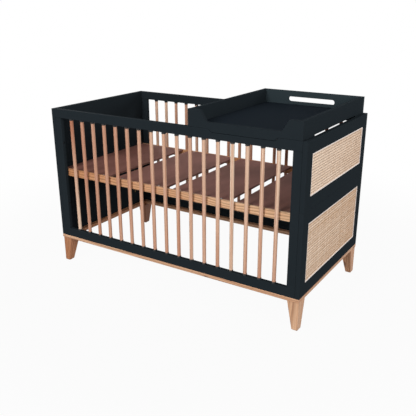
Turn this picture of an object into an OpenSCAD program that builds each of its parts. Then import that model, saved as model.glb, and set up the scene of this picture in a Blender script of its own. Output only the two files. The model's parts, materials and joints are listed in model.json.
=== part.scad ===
// Convertible crib with slatted sides, cane ends, a tapered-leg plinth,
// a height-adjustable mattress base and a lift-off changing tray.
// X runs along the crib, the front is at -Y and Z is up, with the origin on the floor
// under the middle of the crib.

/* [Crib box] */
// Outer length of the painted box
crib_l = 1450; // [1300:10:1600]
// Outer depth of the painted box
crib_w = 746; // [700:2:800]
// Height of the painted box above the plinth
box_h = 710; // [660:5:760]
// Thickness of the end boards
end_t = 22; // [20:1:26]
// Thickness of the side frames
side_t = 22; // [20:1:26]
// Radius on the long edges of painted pieces
edge_r = 2; // [1:0.5:3]

/* [Ends] */
// Height of the lower half of an end, up to the seam
end_split_h = 403; // [370:1:430]
// Painted border beside a cane window
window_side = 58; // [45:1:70]
// Painted border above and below a cane window
window_border = 60; // [50:1:70]
// Depth of the routed window
window_depth = 5; // [4:0.5:7]
// Radius in the corners of a window
window_r = 3; // [2:0.5:6]
// Thickness of the cane sheet
cane_t = 1.5; // [1:0.25:2]
// Width of the reed spline round the cane
spline_w = 5; // [4:0.5:8]
// Depth that the spline stays below the face of the end
spline_inset = 0.5; // [0:0.25:1]
// Leg of the chamfer along the seam between the halves
seam_chamfer = 1.5; // [0.5:0.5:3]
// Diameter of the loose dowels between the halves
end_dowel_d = 8; // [6:1:10]
// Length of the loose dowels between the halves
end_dowel_l = 40; // [30:2:60]
// Distance of the outer end dowels from the corners of an end
end_dowel_edge = 90; // [60:5:150]
// Number of loose dowels in each end
end_dowel_n = 4; // [2:1:6]

/* [Side frames] */
// Height of the top rail
top_rail_h = 45; // [38:1:60]
// Height of the bottom rail
bottom_rail_h = 46; // [38:1:60]
// Width of a stile
stile_w = 41; // [34:1:60]
// Number of slats in a side
slat_n = 17; // [13:1:18]
// Diameter of a slat
slat_d = 18; // [14:0.5:19]
// Distance from a stile to the middle of the nearest slat
slat_end = 66.8; // [50:0.2:90]
// Wall of the socket round a slat
socket_wall = 1.5; // [1:0.25:1.5]
// Height of the socket that shows
socket_h = 8; // [5:1:14]
// Thickness of the socket's floor
socket_floor = 2; // [1:0.5:3]
// Diameter of the socket's peg
socket_peg_d = 12; // [8:1:14]
// Length of the socket's peg
socket_peg_l = 15; // [10:1:25]
// Diameter of the loose dowels in the frame corners
stile_dowel_d = 8; // [6:1:10]
// Length of the loose dowels in the frame corners
stile_dowel_l = 50; // [30:2:60]

/* [Side bolts] */
// Height of the lower side bolt above the plinth
side_bolt_low = 192; // [150:1:300]
// Height of the upper side bolt above the plinth
side_bolt_high = 531; // [480:1:600]
// Diameter of a side bolt
side_bolt_d = 6; // [5:0.5:8]
// Diameter of a side bolt's head
side_bolt_head_d = 10; // [9:0.5:13]
// Height of a side bolt's head
side_bolt_head_h = 6; // [4:0.5:8]
// Depth of the counterbore for the head
side_bolt_sink = 10; // [8:0.5:16]
// Across flats of the hexagon socket in a bolt's head
hex_key = 5; // [4:0.5:5]
// Outer diameter of a side bolt's insert
side_insert_d = 10; // [9.5:0.5:12]
// Length of the threaded inserts in the ends
insert_l = 14; // [10:1:16]

/* [Plinth and legs] */
// Height of the legs below the plinth
leg_h = 144; // [100:1:180]
// Height of the plinth rails
plinth_h = 18; // [15:1:30]
// Width of the plinth rails
plinth_w = 48; // [44:1:60]
// Radius on the long edges of the plinth rails
plinth_r = 3; // [1:0.5:4]
// Size of a leg's top along the crib
leg_top_x = 57; // [52:1:70]
// Size of a leg's top across the crib
leg_top_y = 67; // [52:1:74]
// Size of a leg's foot along the crib
leg_foot_x = 29; // [28:1:40]
// Size of a leg's foot across the crib
leg_foot_y = 36; // [28:1:44]
// Distance of a leg from the outer face of the plinth's end
leg_inset_x = 2; // [1:0.5:6]
// Distance of a leg from the outer face of the plinth's front or back
leg_inset_y = 5; // [2:0.5:6]
// Leg of the chamfer round the foot
foot_chamfer = 3; // [1:0.5:4]
// Thickness of the glide under a foot
glide_t = 2; // [1:0.5:4]
// Diameter of the glide
glide_d = 20; // [16:1:20]
// Diameter of the wood screws
screw_d = 4.5; // [3.5:0.5:5]
// Diameter of a wood screw's head
screw_head_d = 9; // [8:0.5:10]
// Length of the screws that hold the legs
leg_screw_l = 60; // [45:5:80]
// Length of the screws that hold the box on the plinth
plinth_screw_l = 48; // [40:2:58]
// Distance of the outer screws in the plinth's ends from the crib's middle
plinth_screw_y = 150; // [100:10:220]
// Distance of a leg screw from the plinth's nearer outer face
leg_screw_near = 15; // [13:1:17]
// Distance of a leg screw from the plinth's farther outer face
leg_screw_far = 36; // [33:1:40]

/* [Mattress base] */
// Height of the base's top above the plinth, at the highest setting
base_top = 384; // [370:1:390]
// Gap between the base and each end
base_end_gap = 5; // [4.5:0.5:8]
// Gap between the base and each side
base_side_gap = 3; // [2:0.5:6]
// Height of the front and back base rails
base_rail_h = 39; // [36:1:50]
// Width of the front and back base rails
base_rail_w = 24; // [20:1:30]
// Width of the rebate that carries the boards
rebate_w = 12; // [11:1:16]
// Thickness of the boards
board_t = 10; // [8:1:12]
// Depth of the boards' top below the rails' top
board_inset = 0.5; // [0:0.25:1]
// Gap between two boards
board_gap = 45; // [20:1:60]
// Radius on the long edges of a board
board_r = 1; // [0.5:0.25:2]
// Thickness of the base's end rails
base_end_t = 22; // [18:1:26]
// Length of the screws that hold the boards
board_screw_l = 30; // [20:1:35]
// Distance of a board screw from the board's long edge
board_screw_edge = 40; // [25:5:70]
// Diameter of the loose dowels in the base's corners
base_dowel_d = 8; // [6:1:10]
// Length of the loose dowels in the base's corners
base_dowel_l = 36; // [30:2:44]

/* [Base support] */
// Distance of the support bolts from the middle of an end
support_y = 250; // [150:5:280]
// Diameter of a support bolt
support_d = 8; // [6:0.5:10]
// Diameter of a support bolt's head
support_head_d = 14; // [12:0.5:16]
// Height of a support bolt's head
support_head_h = 5; // [4:0.5:8]
// Outer diameter of a support bolt's insert
support_insert_d = 12; // [11:0.5:14]
// Height of a support bolt above the bottom of the base
support_up = 13; // [11:0.5:16]
// Number of height settings
level_n = 3; // [2:1:3]
// Drop of the base from one setting to the next
level_drop = 137; // [60:1:137]
// Thickness of a hanger plate
plate_t = 3; // [2:0.5:4]
// Width of a hanger plate
plate_w = 56; // [50:1:70]
// Height of a hanger plate
plate_h = 27; // [25:0.5:28]
// Distance of a plate's screws from the middle of its slot
plate_screw_y = 18; // [16:0.5:19]
// Length of a plate's screws
plate_screw_l = 18; // [14:1:20]

/* [Changing tray] */
// Length of the tray along the crib
tray_l = 556; // [460:2:620]
// Gap between the tray and the inner face of the right end
tray_gap = 1; // [0.5:0.5:6]
// Height of the tray above the box
tray_h = 80; // [70:1:110]
// Thickness of the tray's panels
tray_t = 18; // [15:1:22]
// Thickness of the tray's floor
tray_floor_t = 8; // [6:1:12]
// Thickness of the tongue round the tray's floor
tongue_t = 5; // [3:0.5:6]
// Height of the floor's underside above the box
tray_floor_up = 3; // [3:0.5:8]
// Height of the side panels' lower edge above the box, between their feet
tray_side_up = 3; // [2:0.5:3]
// Length of the foot at each end of a side panel
side_foot_l = 100; // [40:5:200]
// Depth of those feet inside the box
side_foot_h = 14; // [8:1:20]
// Depth of the grooves and rabbets for that tongue
groove_d = 6; // [4:0.5:8]
// Width of the ears of the front panel, along the top
ear_w = 63; // [40:1:80]
// Length of the slope beside an ear
slope_l = 31; // [20:1:60]
// Depth of the scoop in the front panel
scoop_h = 51; // [30:1:54]
// Radius of the scoop's corners
scoop_r = 12; // [6:1:20]
// Length of the lip along its top
lip_l = 340; // [200:2:400]
// Length of the slope at each end of the lip
lip_slope = 17; // [10:1:40]
// Depth of the lip below the top of the side
lip_h = 14; // [10:1:20]
// Length of the hand slot
handle_l = 260; // [120:5:300]
// Height of the hand slot
handle_h = 26; // [24:1:34]
// Height of the middle of the hand slot above the box
handle_up = 38; // [34:1:44]
// Diameter of the loose dowels in the tray's corners
tray_dowel_d = 8; // [6:1:10]
// Length of the loose dowels in the tray's corners
tray_dowel_l = 32; // [24:2:40]
// Depth of those dowels in the front and back panels
tray_dowel_in = 12; // [8:1:13]
// Height of the lower of those dowels above the box
tray_dowel_low = 28; // [22:1:32]
// Height of the upper of those dowels above the box
tray_dowel_high = 60; // [48:1:62]

/* [Clearances] */
// Gap round a dowel, screw or bolt in its hole
hole_gap = 0.15; // [0.1:0.05:0.25]
// Gap between loose flat pieces, such as a panel in its groove
fit_gap = 0.3; // [0.2:0.1:0.5]
// Gap between the lip and its notch, and between the tray's feet and the sides
lip_gap = 1; // [0.5:0.25:2]
// Room past the end of a dowel in its hole
end_gap = 0.5; // [0.25:0.25:1]
// Gap round the head of a bolt in its counterbore or slot
head_gap = 1; // [0.5:0.25:1.5]

/* [Hidden] */
// Number of sides that a drawn circle gets
$fn = 48;
// Small overlap that keeps a cut clean through a face
cut = 1;
box_z = leg_h + plinth_h;
inner_l = crib_l - 2 * end_t;
inner_w = crib_w - 2 * side_t;
end_upper_h = box_h - end_split_h;
side_y = (crib_w - side_t) / 2;
end_x = (crib_l - end_t) / 2;
stile_h = box_h - top_rail_h - bottom_rail_h;
slat_l = stile_h - 2 * (socket_floor + fit_gap);
first_slat = stile_w + slat_end - inner_l / 2;
slat_pitch = -2 * first_slat / (slat_n - 1);
socket_d = slat_d + 2 * hole_gap + 2 * socket_wall;
// Slats, counted from an end, after which a screw holds a bottom rail on the plinth
screw_slats = [2, 6];
window_w = crib_w - 2 * window_side;
lower_window = [window_border, end_split_h - window_border];
upper_window = [end_split_h + window_border, box_h - window_border];
window_floor = crib_l / 2 - window_depth;
side_bolt_l = stile_w - side_bolt_sink + insert_l - end_gap;
base_l = inner_l - 2 * base_end_gap;
base_w = inner_w - 2 * base_side_gap;
base_low = base_top - base_rail_h;
rebate_h = board_t + board_inset;
base_end_h = base_rail_h - rebate_h;
board_n = 4;
board_w = (base_l - (board_n - 1) * board_gap) / board_n;
board_l = base_w - 2 * (base_rail_w - rebate_w) - 2 * fit_gap;
board_screw_y = base_w / 2 - base_rail_w + rebate_w / 2;
support_z = base_low + support_up;
support_bolt_l = insert_l - end_gap + base_end_gap + fit_gap;
slot_w = support_d + 2 * fit_gap;
head_slot_w = support_head_d + 2 * head_gap;
box_top = box_z + box_h;
tray_x = inner_l / 2 - tray_gap - tray_l / 2;
tray_in_l = tray_l - 2 * tray_t;
tray_in_w = crib_w - 2 * tray_t;

// Rectangle from the origin with round corners
module rounded_rect(w, h, r) {
    translate([r, 0]) square([w - 2 * r, h]);
    translate([0, r]) square([w, h - 2 * r]);
    for (x = [r, w - r], y = [r, h - r]) translate([x, y]) circle(r);
}

// Bar along X on the XY plane, centred in X and Y, with its long edges rounded
module bar_x(l, w, h, r) {
    rotate([90, 0, 90]) linear_extrude(l, center = true) translate([-w / 2, 0]) rounded_rect(w, h, r);
}

// Bar along Y on the XY plane, centred in X and Y, with its long edges rounded
module bar_y(l, w, h, r) {
    rotate([90, 0, 0]) linear_extrude(l, center = true) translate([-w / 2, 0]) rounded_rect(w, h, r);
}

// Rod along X from the origin
module rod_x(l, d) {
    rotate([0, 90, 0]) cylinder(h = l, d = d);
}

// Rod along Y, centred on the origin
module rod_y(l, d) {
    rotate([90, 0, 0]) cylinder(h = l, d = d, center = true);
}

// Repeats the front side's children at the back
module both_sides() {
    children();
    mirror([0, 1, 0]) children();
}

// Repeats the right end's children at the left
module both_ends() {
    children();
    mirror([1, 0, 0]) children();
}

// Countersunk wood screw that points down from its head's flat top at the origin
module wood_screw(l) {
    sink = (screw_head_d - screw_d) / 2;
    rotate_extrude() polygon([
        [0, 0], [screw_head_d / 2, 0], [screw_d / 2, -sink], [screw_d / 2, screw_d - l], [0, -l]
    ]);
}

// Room for that screw, open above its head
module screw_hole(l) {
    sink = (screw_head_d - screw_d) / 2;
    r = screw_d / 2 + hole_gap;
    rotate_extrude() polygon([
        [0, cut], [screw_head_d / 2 + hole_gap, cut], [screw_head_d / 2 + hole_gap, -hole_gap],
        [r, -sink - hole_gap], [r, screw_d - l - end_gap], [0, -l - end_gap]
    ]);
}

// Bolt along X with a hexagon socket in its head, from under the head at the origin
module socket_bolt(l, d, head_d, head_h) {
    difference() {
        union() {
            rod_x(l, d);
            translate([-head_h, 0, 0]) rod_x(head_h, head_d);
        }
        translate([-head_h - cut, 0, 0]) rotate([0, 90, 0])
            cylinder(h = head_h / 2 + cut, d = hex_key / cos(30), $fn = 6);
    }
}

// Threaded insert along X, shown with a plain bore
module insert_sleeve(d, bolt_d) {
    difference() {
        rod_x(insert_l, d);
        translate([-cut, 0, 0]) rod_x(insert_l + 2 * cut, bolt_d + 2 * hole_gap);
    }
}

// Places its children at the two leg screws of every leg
module at_leg_screws() {
    for (sx = [-1, 1], sy = [-1, 1], p = [[leg_screw_near, leg_screw_far], [leg_screw_far, leg_screw_near]])
        translate([sx * (crib_l / 2 - p[0]), sy * (crib_w / 2 - p[1]), box_z - hole_gap]) children();
}

// Places its children at the screws that hold the box on the plinth
module at_plinth_screws() {
    for (sx = [-1, 1], sy = [-1, 1], n = screw_slats)
        translate([sx * (first_slat + (n - 0.5) * slat_pitch), sy * side_y, leg_h + hole_gap]) children();
    for (sx = [-1, 1], sy = [-1, 1])
        translate([sx * end_x, sy * plinth_screw_y, leg_h + hole_gap]) children();
}

// Front rail of the plinth, mitred at both ends, for a frame of length l and depth w
module plinth_rail(l, w) {
    difference() {
        intersection() {
            translate([0, 0, leg_h]) linear_extrude(plinth_h) polygon([
                [-l / 2, -w / 2], [l / 2, -w / 2],
                [l / 2 - plinth_w, plinth_w - w / 2], [plinth_w - l / 2, plinth_w - w / 2]
            ]);
            translate([0, (plinth_w - w) / 2, leg_h]) bar_x(l + 2 * cut, plinth_w, plinth_h, plinth_r);
        }
        children();
    }
}

module plinth_holes() {
    at_leg_screws() screw_hole(leg_screw_l);
    at_plinth_screws() mirror([0, 0, 1]) screw_hole(plinth_screw_l);
}

module plinth_rail_front() {
    color("burlywood") plinth_rail(crib_l, crib_w) plinth_holes();
}

module plinth_rail_back() {
    color("burlywood") mirror([0, 1, 0]) plinth_rail(crib_l, crib_w) plinth_holes();
}

module plinth_rail_left() {
    color("burlywood") rotate(-90) plinth_rail(crib_w, crib_l) rotate(90) plinth_holes();
}

module plinth_rail_right() {
    color("burlywood") rotate(90) plinth_rail(crib_w, crib_l) rotate(-90) plinth_holes();
}

// Side view of a leg from its outer face, plumb outside and tapered inside
module leg_profile(top, foot) {
    polygon([
        [foot_chamfer, glide_t], [foot - foot_chamfer, glide_t], [foot, glide_t + foot_chamfer],
        [top, leg_h], [0, leg_h], [0, glide_t + foot_chamfer]
    ]);
}

// Front left leg
module leg() {
    difference() {
        translate([leg_inset_x - crib_l / 2, leg_inset_y - crib_w / 2, 0]) intersection() {
            translate([0, leg_top_y / 2, 0]) rotate([90, 0, 0])
                linear_extrude(leg_top_y, center = true) leg_profile(leg_top_x, leg_foot_x);
            rotate([90, 0, 90]) linear_extrude(leg_top_x) leg_profile(leg_top_y, leg_foot_y);
        }
        at_leg_screws() screw_hole(leg_screw_l);
    }
}

module leg_front_left() {
    color("burlywood") leg();
}

module leg_front_right() {
    color("burlywood") mirror([1, 0, 0]) leg();
}

module leg_back_left() {
    color("burlywood") mirror([0, 1, 0]) leg();
}

module leg_back_right() {
    color("burlywood") mirror([1, 0, 0]) mirror([0, 1, 0]) leg();
}

module leg_glides() {
    x = crib_l / 2 - leg_inset_x - leg_foot_x / 2;
    y = crib_w / 2 - leg_inset_y - leg_foot_y / 2;
    color("dimgray") for (sx = [-1, 1], sy = [-1, 1])
        translate([sx * x, sy * y, 0]) cylinder(h = glide_t, d = glide_d);
}

module leg_screws() {
    color("silver") at_leg_screws() wood_screw(leg_screw_l);
}

module plinth_screws() {
    color("silver") at_plinth_screws() mirror([0, 0, 1]) wood_screw(plinth_screw_l);
}

// Right end as one rounded board, before it is cut in two
module end_blank() {
    intersection() {
        translate([inner_l / 2, -crib_w / 2, box_z]) linear_extrude(box_h)
            rounded_rect(end_t, crib_w, edge_r);
        translate([end_x, 0, box_z]) bar_y(crib_w + 2 * cut, end_t, box_h, edge_r);
        translate([end_x, 0, box_z]) bar_x(end_t + 2 * cut, crib_w, box_h, edge_r);
    }
}

// V groove all round the seam between the halves of the right end
module seam_groove() {
    side = seam_chamfer * sqrt(2);
    translate([end_x, 0, box_z + end_split_h]) {
        for (s = [-1, 1]) translate([s * end_t / 2, 0, 0]) rotate([0, 45, 0])
            cube([side, crib_w + 2 * cut, side], center = true);
        for (s = [-1, 1]) translate([0, s * crib_w / 2, 0]) rotate([45, 0, 0])
            cube([end_t + 2 * cut, side, side], center = true);
    }
}

// Outline of a window, w wide and h high, centred on the origin
module window_outline(w, h, inset) {
    translate([inset - w / 2, inset - h / 2]) rounded_rect(w - 2 * inset, h - 2 * inset, window_r);
}

// Places children drawn in the YZ plane at the depth x in a window of the right end
module at_window(low, high, x) {
    translate([x, 0, box_z + (low + high) / 2]) rotate([90, 0, 90]) children();
}

module window_cut(window) {
    at_window(window[0], window[1], window_floor) linear_extrude(window_depth + cut)
        window_outline(window_w, window[1] - window[0], 0);
}

module cane(window) {
    at_window(window[0], window[1], window_floor) linear_extrude(cane_t)
        window_outline(window_w, window[1] - window[0], fit_gap);
}

module spline(window) {
    h = window[1] - window[0];
    at_window(window[0], window[1], window_floor + cane_t)
        linear_extrude(window_depth - cane_t - spline_inset) difference() {
            window_outline(window_w, h, fit_gap);
            window_outline(window_w, h, fit_gap + spline_w);
        }
}

// Places its children at the loose dowels on the right end's seam
module at_end_dowels() {
    reach = crib_w / 2 - end_dowel_edge;
    for (i = [0 : end_dowel_n - 1])
        translate([end_x, -reach + i * 2 * reach / (end_dowel_n - 1), box_z + end_split_h]) children();
}

module end_holes() {
    at_end_dowels() cylinder(h = end_dowel_l + 2 * end_gap, d = end_dowel_d + 2 * hole_gap, center = true);
    at_side_inserts() translate([-cut, 0, 0]) rod_x(insert_l + cut, side_insert_d + 2 * hole_gap);
    at_support_inserts() translate([-cut, 0, 0]) rod_x(insert_l + cut, support_insert_d + 2 * hole_gap);
    at_plinth_screws() mirror([0, 0, 1]) screw_hole(plinth_screw_l);
}

// Places its children at the mouths of the side bolts' inserts in the right end
module at_side_inserts() {
    for (sy = [-1, 1], z = [side_bolt_low, side_bolt_high])
        translate([inner_l / 2, sy * side_y, box_z + z]) children();
}

// Places its children at the mouths of the support bolts' inserts in the right end
module at_support_inserts() {
    for (sy = [-1, 1], level = [0 : level_n - 1])
        translate([inner_l / 2, sy * support_y, box_z + support_z - level * level_drop]) children();
}

// Lower half of the right end
module end_lower() {
    difference() {
        intersection() {
            end_blank();
            translate([end_x, 0, box_z + end_split_h / 2])
                cube([end_t + 2 * cut, crib_w + 2 * cut, end_split_h], center = true);
        }
        seam_groove();
        window_cut(lower_window);
        end_holes();
    }
}

// Upper half of the right end
module end_upper() {
    difference() {
        intersection() {
            end_blank();
            translate([end_x, 0, box_z + end_split_h + end_upper_h / 2])
                cube([end_t + 2 * cut, crib_w + 2 * cut, end_upper_h], center = true);
        }
        seam_groove();
        window_cut(upper_window);
        end_holes();
    }
}

module end_left_lower() {
    color("#20282c") mirror([1, 0, 0]) end_lower();
}

module end_left_upper() {
    color("#20282c") mirror([1, 0, 0]) end_upper();
}

module end_right_lower() {
    color("#20282c") end_lower();
}

module end_right_upper() {
    color("#20282c") end_upper();
}

module cane_left_lower() {
    color("tan") mirror([1, 0, 0]) cane(lower_window);
}

module cane_left_upper() {
    color("tan") mirror([1, 0, 0]) cane(upper_window);
}

module cane_right_lower() {
    color("tan") cane(lower_window);
}

module cane_right_upper() {
    color("tan") cane(upper_window);
}

module spline_left_lower() {
    color("wheat") mirror([1, 0, 0]) spline(lower_window);
}

module spline_left_upper() {
    color("wheat") mirror([1, 0, 0]) spline(upper_window);
}

module spline_right_lower() {
    color("wheat") spline(lower_window);
}

module spline_right_upper() {
    color("wheat") spline(upper_window);
}

module end_dowels() {
    color("burlywood") both_ends() at_end_dowels() cylinder(h = end_dowel_l, d = end_dowel_d, center = true);
}

module side_bolt_inserts() {
    color("goldenrod") both_ends() at_side_inserts() insert_sleeve(side_insert_d, side_bolt_d);
}

module support_inserts() {
    color("goldenrod") both_ends() at_support_inserts() insert_sleeve(support_insert_d, support_d);
}

// Places its children at the foot of every slat of the front side, on the bottom rail
module at_slats() {
    for (i = [0 : slat_n - 1])
        translate([first_slat + i * slat_pitch, -side_y, box_z + bottom_rail_h]) children();
}

// Places its children in the side's four frame corners, on the joint's face
module at_stile_dowels() {
    for (sx = [-1, 1], dx = [-1, 1], z = [bottom_rail_h, box_h - top_rail_h])
        translate([sx * (inner_l - stile_w) / 2 + dx * stile_w / 4, -side_y, box_z + z]) children();
}

module rail_holes() {
    at_slats() {
        translate([0, 0, -socket_peg_l - end_gap])
            cylinder(h = socket_peg_l + end_gap + cut, d = socket_peg_d + 2 * hole_gap);
        translate([0, 0, stile_h - cut])
            cylinder(h = socket_peg_l + end_gap + cut, d = socket_peg_d + 2 * hole_gap);
    }
    stile_dowel_holes();
    at_plinth_screws() mirror([0, 0, 1]) screw_hole(plinth_screw_l);
}

module stile_dowel_holes() {
    at_stile_dowels()
        cylinder(h = stile_dowel_l + 2 * end_gap, d = stile_dowel_d + 2 * hole_gap, center = true);
}

// Notch in the top edge of a front top rail that takes the tray's lip
module lip_notch() {
    wide = lip_l / 2 + lip_gap;
    narrow = wide - lip_slope;
    low = -lip_h - lip_gap;
    translate([tray_x, -side_y, box_top]) rotate([90, 0, 0])
        linear_extrude(side_t + 2 * cut, center = true)
            polygon([[-wide, cut], [-wide, 0], [-narrow, low], [narrow, low], [wide, 0], [wide, cut]]);
}

// Top rail of the front side
module top_rail() {
    difference() {
        translate([0, -side_y, box_top - top_rail_h]) bar_x(inner_l, side_t, top_rail_h, edge_r);
        lip_notch();
        rail_holes();
    }
}

// Bottom rail of the front side
module bottom_rail() {
    difference() {
        translate([0, -side_y, box_z]) bar_x(inner_l, side_t, bottom_rail_h, edge_r);
        rail_holes();
    }
}

// Right stile of the front side
module stile() {
    difference() {
        translate([inner_l / 2 - stile_w, -side_y - side_t / 2, box_z + bottom_rail_h])
            linear_extrude(stile_h) rounded_rect(stile_w, side_t, edge_r);
        stile_dowel_holes();
        at_side_inserts() translate([-stile_w - cut, 0, 0]) {
            rod_x(stile_w + 2 * cut, side_bolt_d + 2 * fit_gap);
            rod_x(side_bolt_sink + cut, side_bolt_head_d + 2 * head_gap);
        }
    }
}

// Slats of the front side
module slats() {
    at_slats() translate([0, 0, socket_floor + fit_gap]) cylinder(h = slat_l, d = slat_d);
}

// Socket with its peg down, on the face of a rail
module slat_socket() {
    bore = slat_d / 2 + hole_gap;
    lip = socket_wall / 2;
    rotate_extrude() polygon([
        [0, -socket_peg_l], [socket_peg_d / 2, -socket_peg_l], [socket_peg_d / 2, 0], [socket_d / 2, 0],
        [socket_d / 2, socket_h - lip], [socket_d / 2 - lip, socket_h], [bore, socket_h],
        [bore, socket_floor], [0, socket_floor]
    ]);
}

// Sockets of the front side, on both rails
module slat_sockets() {
    at_slats() {
        slat_socket();
        translate([0, 0, stile_h]) mirror([0, 0, 1]) slat_socket();
    }
}

module front_top_rail() {
    color("#20282c") top_rail();
}

module front_bottom_rail() {
    color("#20282c") bottom_rail();
}

module front_left_stile() {
    color("#20282c") mirror([1, 0, 0]) stile();
}

module front_right_stile() {
    color("#20282c") stile();
}

module front_slats() {
    color("burlywood") slats();
}

module front_slat_sockets() {
    color("#111111") slat_sockets();
}

module back_top_rail() {
    color("#20282c") mirror([0, 1, 0]) top_rail();
}

module back_bottom_rail() {
    color("#20282c") mirror([0, 1, 0]) bottom_rail();
}

module back_left_stile() {
    color("#20282c") mirror([0, 1, 0]) mirror([1, 0, 0]) stile();
}

module back_right_stile() {
    color("#20282c") mirror([0, 1, 0]) stile();
}

module back_slats() {
    color("burlywood") mirror([0, 1, 0]) slats();
}

module back_slat_sockets() {
    color("#111111") mirror([0, 1, 0]) slat_sockets();
}

module stile_dowels() {
    color("burlywood") both_sides() at_stile_dowels()
        cylinder(h = stile_dowel_l, d = stile_dowel_d, center = true);
}

module side_bolts() {
    color("silver") both_ends() at_side_inserts() translate([side_bolt_sink - stile_w, 0, 0])
        socket_bolt(side_bolt_l, side_bolt_d, side_bolt_head_d, side_bolt_head_h);
}

// Places its children at the front screws of every board, on the board's top
module at_board_screws() {
    for (i = [0 : board_n - 1], x = [board_screw_edge, board_w - board_screw_edge])
        translate([
            -base_l / 2 + i * (board_w + board_gap) + x, -board_screw_y,
            box_z + base_top - board_inset - hole_gap
        ]) children();
}

// Places its children at the dowels in the base's front right corner, on the joint's face
module at_base_dowels() {
    for (z = [1, 3] * base_end_h / 4)
        translate([(base_l - base_end_t) / 2, base_rail_w - base_w / 2, box_z + base_low + z]) children();
}

module base_holes() {
    both_sides() {
        at_board_screws() screw_hole(board_screw_l);
        both_ends() at_base_dowels() rod_y(base_dowel_l + 2 * end_gap, base_dowel_d + 2 * hole_gap);
    }
}

// Front rail of the mattress base, rebated for the boards
module base_long_rail() {
    difference() {
        translate([0, (base_rail_w - base_w) / 2, box_z + base_low])
            bar_x(base_l, base_rail_w, base_rail_h, edge_r);
        translate([0, base_rail_w - base_w / 2, box_z + base_top])
            cube([base_l + 2 * cut, 2 * rebate_w, 2 * rebate_h], center = true);
        base_holes();
    }
}

// Places its children at the middle of the right end's hanger slots, on the base's end face
module at_hangers() {
    for (sy = [-1, 1]) translate([base_l / 2, sy * support_y, box_z + support_z]) children();
}

// Slot that is open below, w wide, from the depth x over a length l
module open_slot(x, l, w) {
    translate([x, 0, 0]) {
        rod_x(l, w);
        translate([0, -w / 2, -base_rail_h]) cube([l, w, base_rail_h]);
    }
}

// Places its children at the right end's plate screws, pointing into the end rail
module at_plate_screws() {
    at_hangers() for (sy = [-1, 1])
        translate([plate_t - hole_gap, sy * plate_screw_y, plate_h / 2 - support_up])
            rotate([0, 90, 0]) children();
}

// Right end rail of the mattress base
module base_end_rail() {
    difference() {
        translate([(base_l - base_end_t) / 2, 0, box_z + base_low])
            bar_y(base_w - 2 * base_rail_w, base_end_t, base_end_h, edge_r);
        at_hangers() open_slot(-base_end_t - cut, base_end_t + 2 * cut, head_slot_w);
        at_plate_screws() screw_hole(plate_screw_l);
        base_holes();
    }
}

// One crosswise board, counted from the left
module base_board(i) {
    difference() {
        translate([
            -base_l / 2 + (i + 0.5) * board_w + i * board_gap, 0, box_z + base_top - rebate_h
        ]) bar_y(board_l, board_w, board_t, board_r);
        both_sides() at_board_screws() screw_hole(board_screw_l);
    }
}

module base_front_rail() {
    color("burlywood") base_long_rail();
}

module base_back_rail() {
    color("burlywood") mirror([0, 1, 0]) base_long_rail();
}

module base_left_rail() {
    color("burlywood") mirror([1, 0, 0]) base_end_rail();
}

module base_right_rail() {
    color("burlywood") base_end_rail();
}

module base_board_1() {
    color("rosybrown") base_board(0);
}

module base_board_2() {
    color("rosybrown") base_board(1);
}

module base_board_3() {
    color("rosybrown") base_board(2);
}

module base_board_4() {
    color("rosybrown") base_board(3);
}

module base_board_screws() {
    color("silver") both_sides() at_board_screws() wood_screw(board_screw_l);
}

module base_rail_dowels() {
    color("burlywood") both_sides() both_ends() at_base_dowels() rod_y(base_dowel_l, base_dowel_d);
}

module hanger_plates() {
    color("dimgray") both_ends() difference() {
        at_hangers() translate([0, -plate_w / 2, -support_up]) cube([plate_t, plate_w, plate_h]);
        at_hangers() open_slot(-cut, plate_t + 2 * cut, slot_w);
        at_plate_screws() screw_hole(plate_screw_l);
    }
}

module hanger_screws() {
    color("silver") both_ends() at_plate_screws() wood_screw(plate_screw_l);
}

module support_bolts() {
    color("silver") both_ends() at_hangers() translate([-fit_gap, 0, 0])
        socket_bolt(support_bolt_l, support_d, support_head_d, support_head_h);
}

// Points on the arc of radius r that rounds the corner p between the points a and b
function corner_arc(a, p, b, r, steps = 6) =
    let(
        u = (a - p) / norm(a - p),
        v = (b - p) / norm(b - p),
        half = acos(u * v) / 2,
        centre = p + (u + v) / norm(u + v) * r / sin(half),
        from = p + u * r / tan(half) - centre,
        to = p + v * r / tan(half) - centre,
        turn = sign(from[0] * to[1] - from[1] * to[0]) * (180 - 2 * half)
    )
    [for (i = [0 : steps])
        let(t = turn * i / steps)
        centre + [from[0] * cos(t) - from[1] * sin(t), from[0] * sin(t) + from[1] * cos(t)]];

// Lower edge of a tray panel with its lip, from right to left
lip_edge = [
    [tray_l / 2, 0], [lip_l / 2, 0], [lip_l / 2 - lip_slope, -lip_h],
    [lip_slope - lip_l / 2, -lip_h], [-lip_l / 2, 0], [-tray_l / 2, 0]
];

// Front panel's outline, with the scoop between its ears
module scooped_outline() {
    ear = [tray_l / 2 - ear_w, tray_h];
    low = [ear[0] - slope_l, tray_h - scoop_h];
    right = concat(
        corner_arc([tray_l / 2, tray_h], ear, low, scoop_r), corner_arc(ear, low, [0, low[1]], scoop_r)
    );
    polygon(concat(
        lip_edge, [[-tray_l / 2, tray_h]], [for (p = right) [-p[0], p[1]]],
        [for (i = [len(right) - 1 : -1 : 0]) right[i]], [[tray_l / 2, tray_h]]
    ));
}

// Back panel's outline, with the hand slot
module slotted_outline() {
    difference() {
        polygon(concat(lip_edge, [[-tray_l / 2, tray_h], [tray_l / 2, tray_h]]));
        translate([0, handle_up]) {
            square([handle_l - handle_h, handle_h], center = true);
            for (s = [-1, 1]) translate([s * (handle_l - handle_h) / 2, 0]) circle(d = handle_h);
        }
    }
}

// Places its children at the dowels in the tray's front corners, on the joint's face
module at_tray_dowels() {
    for (sx = [-1, 1], z = [tray_dowel_low, tray_dowel_high])
        translate([tray_x + sx * (tray_l - tray_t) / 2, tray_t - crib_w / 2, box_top + z]) children();
}

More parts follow.
